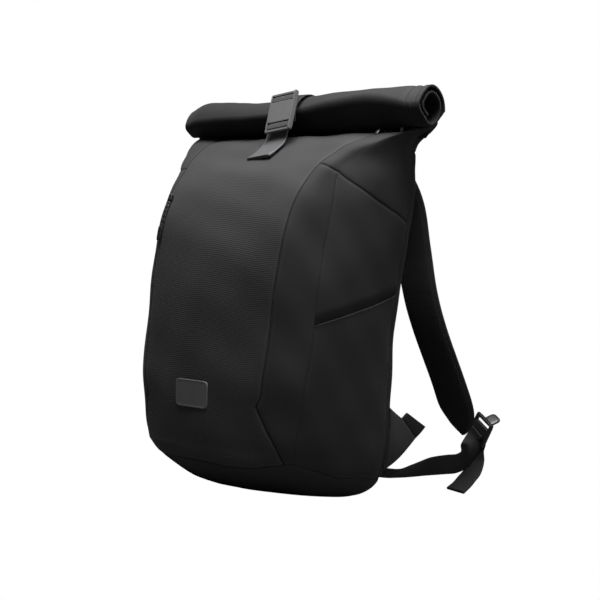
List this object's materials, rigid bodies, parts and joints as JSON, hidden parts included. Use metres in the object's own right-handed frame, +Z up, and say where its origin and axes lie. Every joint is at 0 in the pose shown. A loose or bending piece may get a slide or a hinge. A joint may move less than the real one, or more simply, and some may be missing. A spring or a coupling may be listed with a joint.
{
  "type": "rolltop backpack",
  "caption": "Upright rolltop backpack with padded shoulder straps, a strap closure over the rolled top and open side pockets.",
  "frame": {"origin": "middle of the flat underside, on the floor", "axes": "+Z up, +Y out of the back panel towards the wearer, +X to the right when the front panel is looked at"},
  "size_m": [0.3798, 0.4163, 0.4593],
  "materials": {
    "ripstop": "fine ribbed weave",
    "twill": "plain weave",
    "spacer_mesh": "open mesh over foam",
    "webbing": "ribbed webbing",
    "buckle_plastic": "satin",
    "label_rubber": "matte"
  },
  "bodies": {
    "root": {"front_panel": "ripstop", "base_panel": "twill", "back_panel": "spacer_mesh", "back_yoke": "twill", "corner_panel_right": "twill", "side_panel_right": "twill", "side_pocket_right": "twill", "shoulder_panel_right": "twill", "corner_panel_left": "twill", "side_panel_left": "twill", "side_pocket_left": "twill", "shoulder_panel_left": "twill", "roll_top": "twill", "closure_strap": "webbing", "strap_tail": "webbing", "label_patch": "label_rubber", "closure_buckle": "buckle_plastic", "zip_pull_seam": "buckle_plastic", "zip_pull_top": "buckle_plastic", "zip_pull_end": "buckle_plastic", "shoulder_strap_right": "spacer_mesh", "ladder_lock_right": "buckle_plastic", "lock_lever_right": "buckle_plastic", "adjuster_webbing_right": "webbing", "webbing_tail_right": "webbing", "wing_right": "twill", "wing_loop_right": "webbing", "shoulder_strap_left": "spacer_mesh", "ladder_lock_left": "buckle_plastic", "lock_lever_left": "buckle_plastic", "adjuster_webbing_left": "webbing", "webbing_tail_left": "webbing", "wing_left": "twill", "wing_loop_left": "webbing"}
  },
  "joints": []
}
